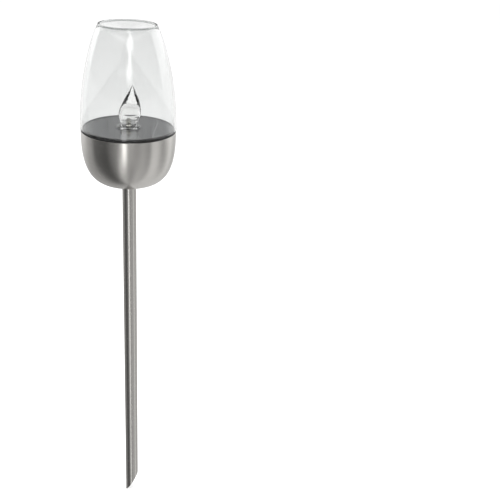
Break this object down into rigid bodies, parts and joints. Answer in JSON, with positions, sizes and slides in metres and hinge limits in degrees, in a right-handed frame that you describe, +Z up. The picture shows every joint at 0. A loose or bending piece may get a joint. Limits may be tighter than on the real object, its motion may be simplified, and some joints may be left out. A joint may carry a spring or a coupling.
{
  "type": "tiki torch",
  "caption": "Solar garden torch: a brushed steel bowl on a mitred ground stake, with an open tulip glass around a clear flame lens on a round solar panel.",
  "frame": {"origin": "on the torch's axis, level with the stake's tip", "axes": "+Z up along the stake, +X towards the side where the mitred end is cut higher and the flame leans, -Y towards the viewer"},
  "size_m": [0.108, 0.108, 0.6261],
  "materials": {
    "brushed_steel": "brushed stainless steel, fine satin grain",
    "screw_steel": "plain bright steel",
    "black_plastic": "moulded black plastic, satin",
    "black_rubber": "matt black rubber",
    "clear_glass": "clear blown glass",
    "clear_acrylic": "clear moulded acrylic",
    "clear_epoxy": "clear cast resin over dark cells, glossy",
    "diode_epoxy": "clear tinted resin",
    "dark_laminate": "black fibreglass board",
    "silicon": "dark grey silicon wafer",
    "tinned_copper": "tinned copper",
    "nickel": "nickel plate",
    "green_laminate": "green fibreglass board",
    "ferrite": "dark grey ferrite and chip resin",
    "battery_film": "green shrink film",
    "red_wire": "red wire insulation",
    "black_wire": "black wire insulation"
  },
  "bodies": {
    "stake": {"stake_tube": "brushed_steel"},
    "head": {"steel_bowl": "brushed_steel", "stake_spigot": "black_plastic", "spigot_washer": "screw_steel", "spigot_screw": "screw_steel"},
    "lamp": {"panel_carrier": "black_plastic", "bowl_seal": "black_rubber", "panel_board": "dark_laminate", "panel_cover": "clear_epoxy", "solar_cell_1": "silicon", "solar_cell_2": "silicon", "solar_cell_3": "silicon", "solar_cell_4": "silicon", "tabbing_ribbon": "tinned_copper", "flame_lens": "clear_acrylic", "diode": "diode_epoxy", "diode_lead_anode": "tinned_copper", "diode_lead_cathode": "tinned_copper", "battery_housing": "black_plastic", "housing_screw_1": "screw_steel", "housing_screw_2": "screw_steel", "housing_screw_3": "screw_steel", "battery": "battery_film", "contact_plate_positive": "nickel", "contact_plate_negative": "nickel", "contact_spring": "nickel", "circuit_board": "green_laminate", "board_screw_1": "screw_steel", "board_screw_2": "screw_steel", "driver_chip": "ferrite", "inductor": "ferrite", "switch_body": "nickel", "diode_wire_red": "red_wire", "diode_wire_black": "black_wire", "panel_wire_red": "red_wire", "panel_wire_black": "black_wire", "battery_wire_red": "red_wire", "battery_wire_black": "black_wire"},
    "shade": {"glass_shade": "clear_glass", "glass_gasket": "black_rubber"},
    "door": {"battery_door": "black_plastic", "door_screw": "screw_steel"},
    "switch": {"switch_slider": "black_plastic"}
  },
  "joints": [
    {"name": "head_lift", "type": "slide", "parent": "stake", "child": "head", "axis": [0, 0, 1], "range_m": [0, 0.045]},
    {"name": "lamp_lift", "type": "slide", "parent": "head", "child": "lamp", "axis": [0, 0, 1], "range_m": [0, 0.06]},
    {"name": "shade_lift", "type": "slide", "parent": "lamp", "child": "shade", "axis": [0, 0, 1], "range_m": [0, 0.055]},
    {"name": "door_drop", "type": "slide", "parent": "lamp", "child": "door", "axis": [0, 0, -1], "range_m": [0, 0.014]},
    {"name": "switch_slide", "type": "slide", "parent": "lamp", "child": "switch", "axis": [1, 0, 0], "range_m": [0, 0.004]}
  ]
}
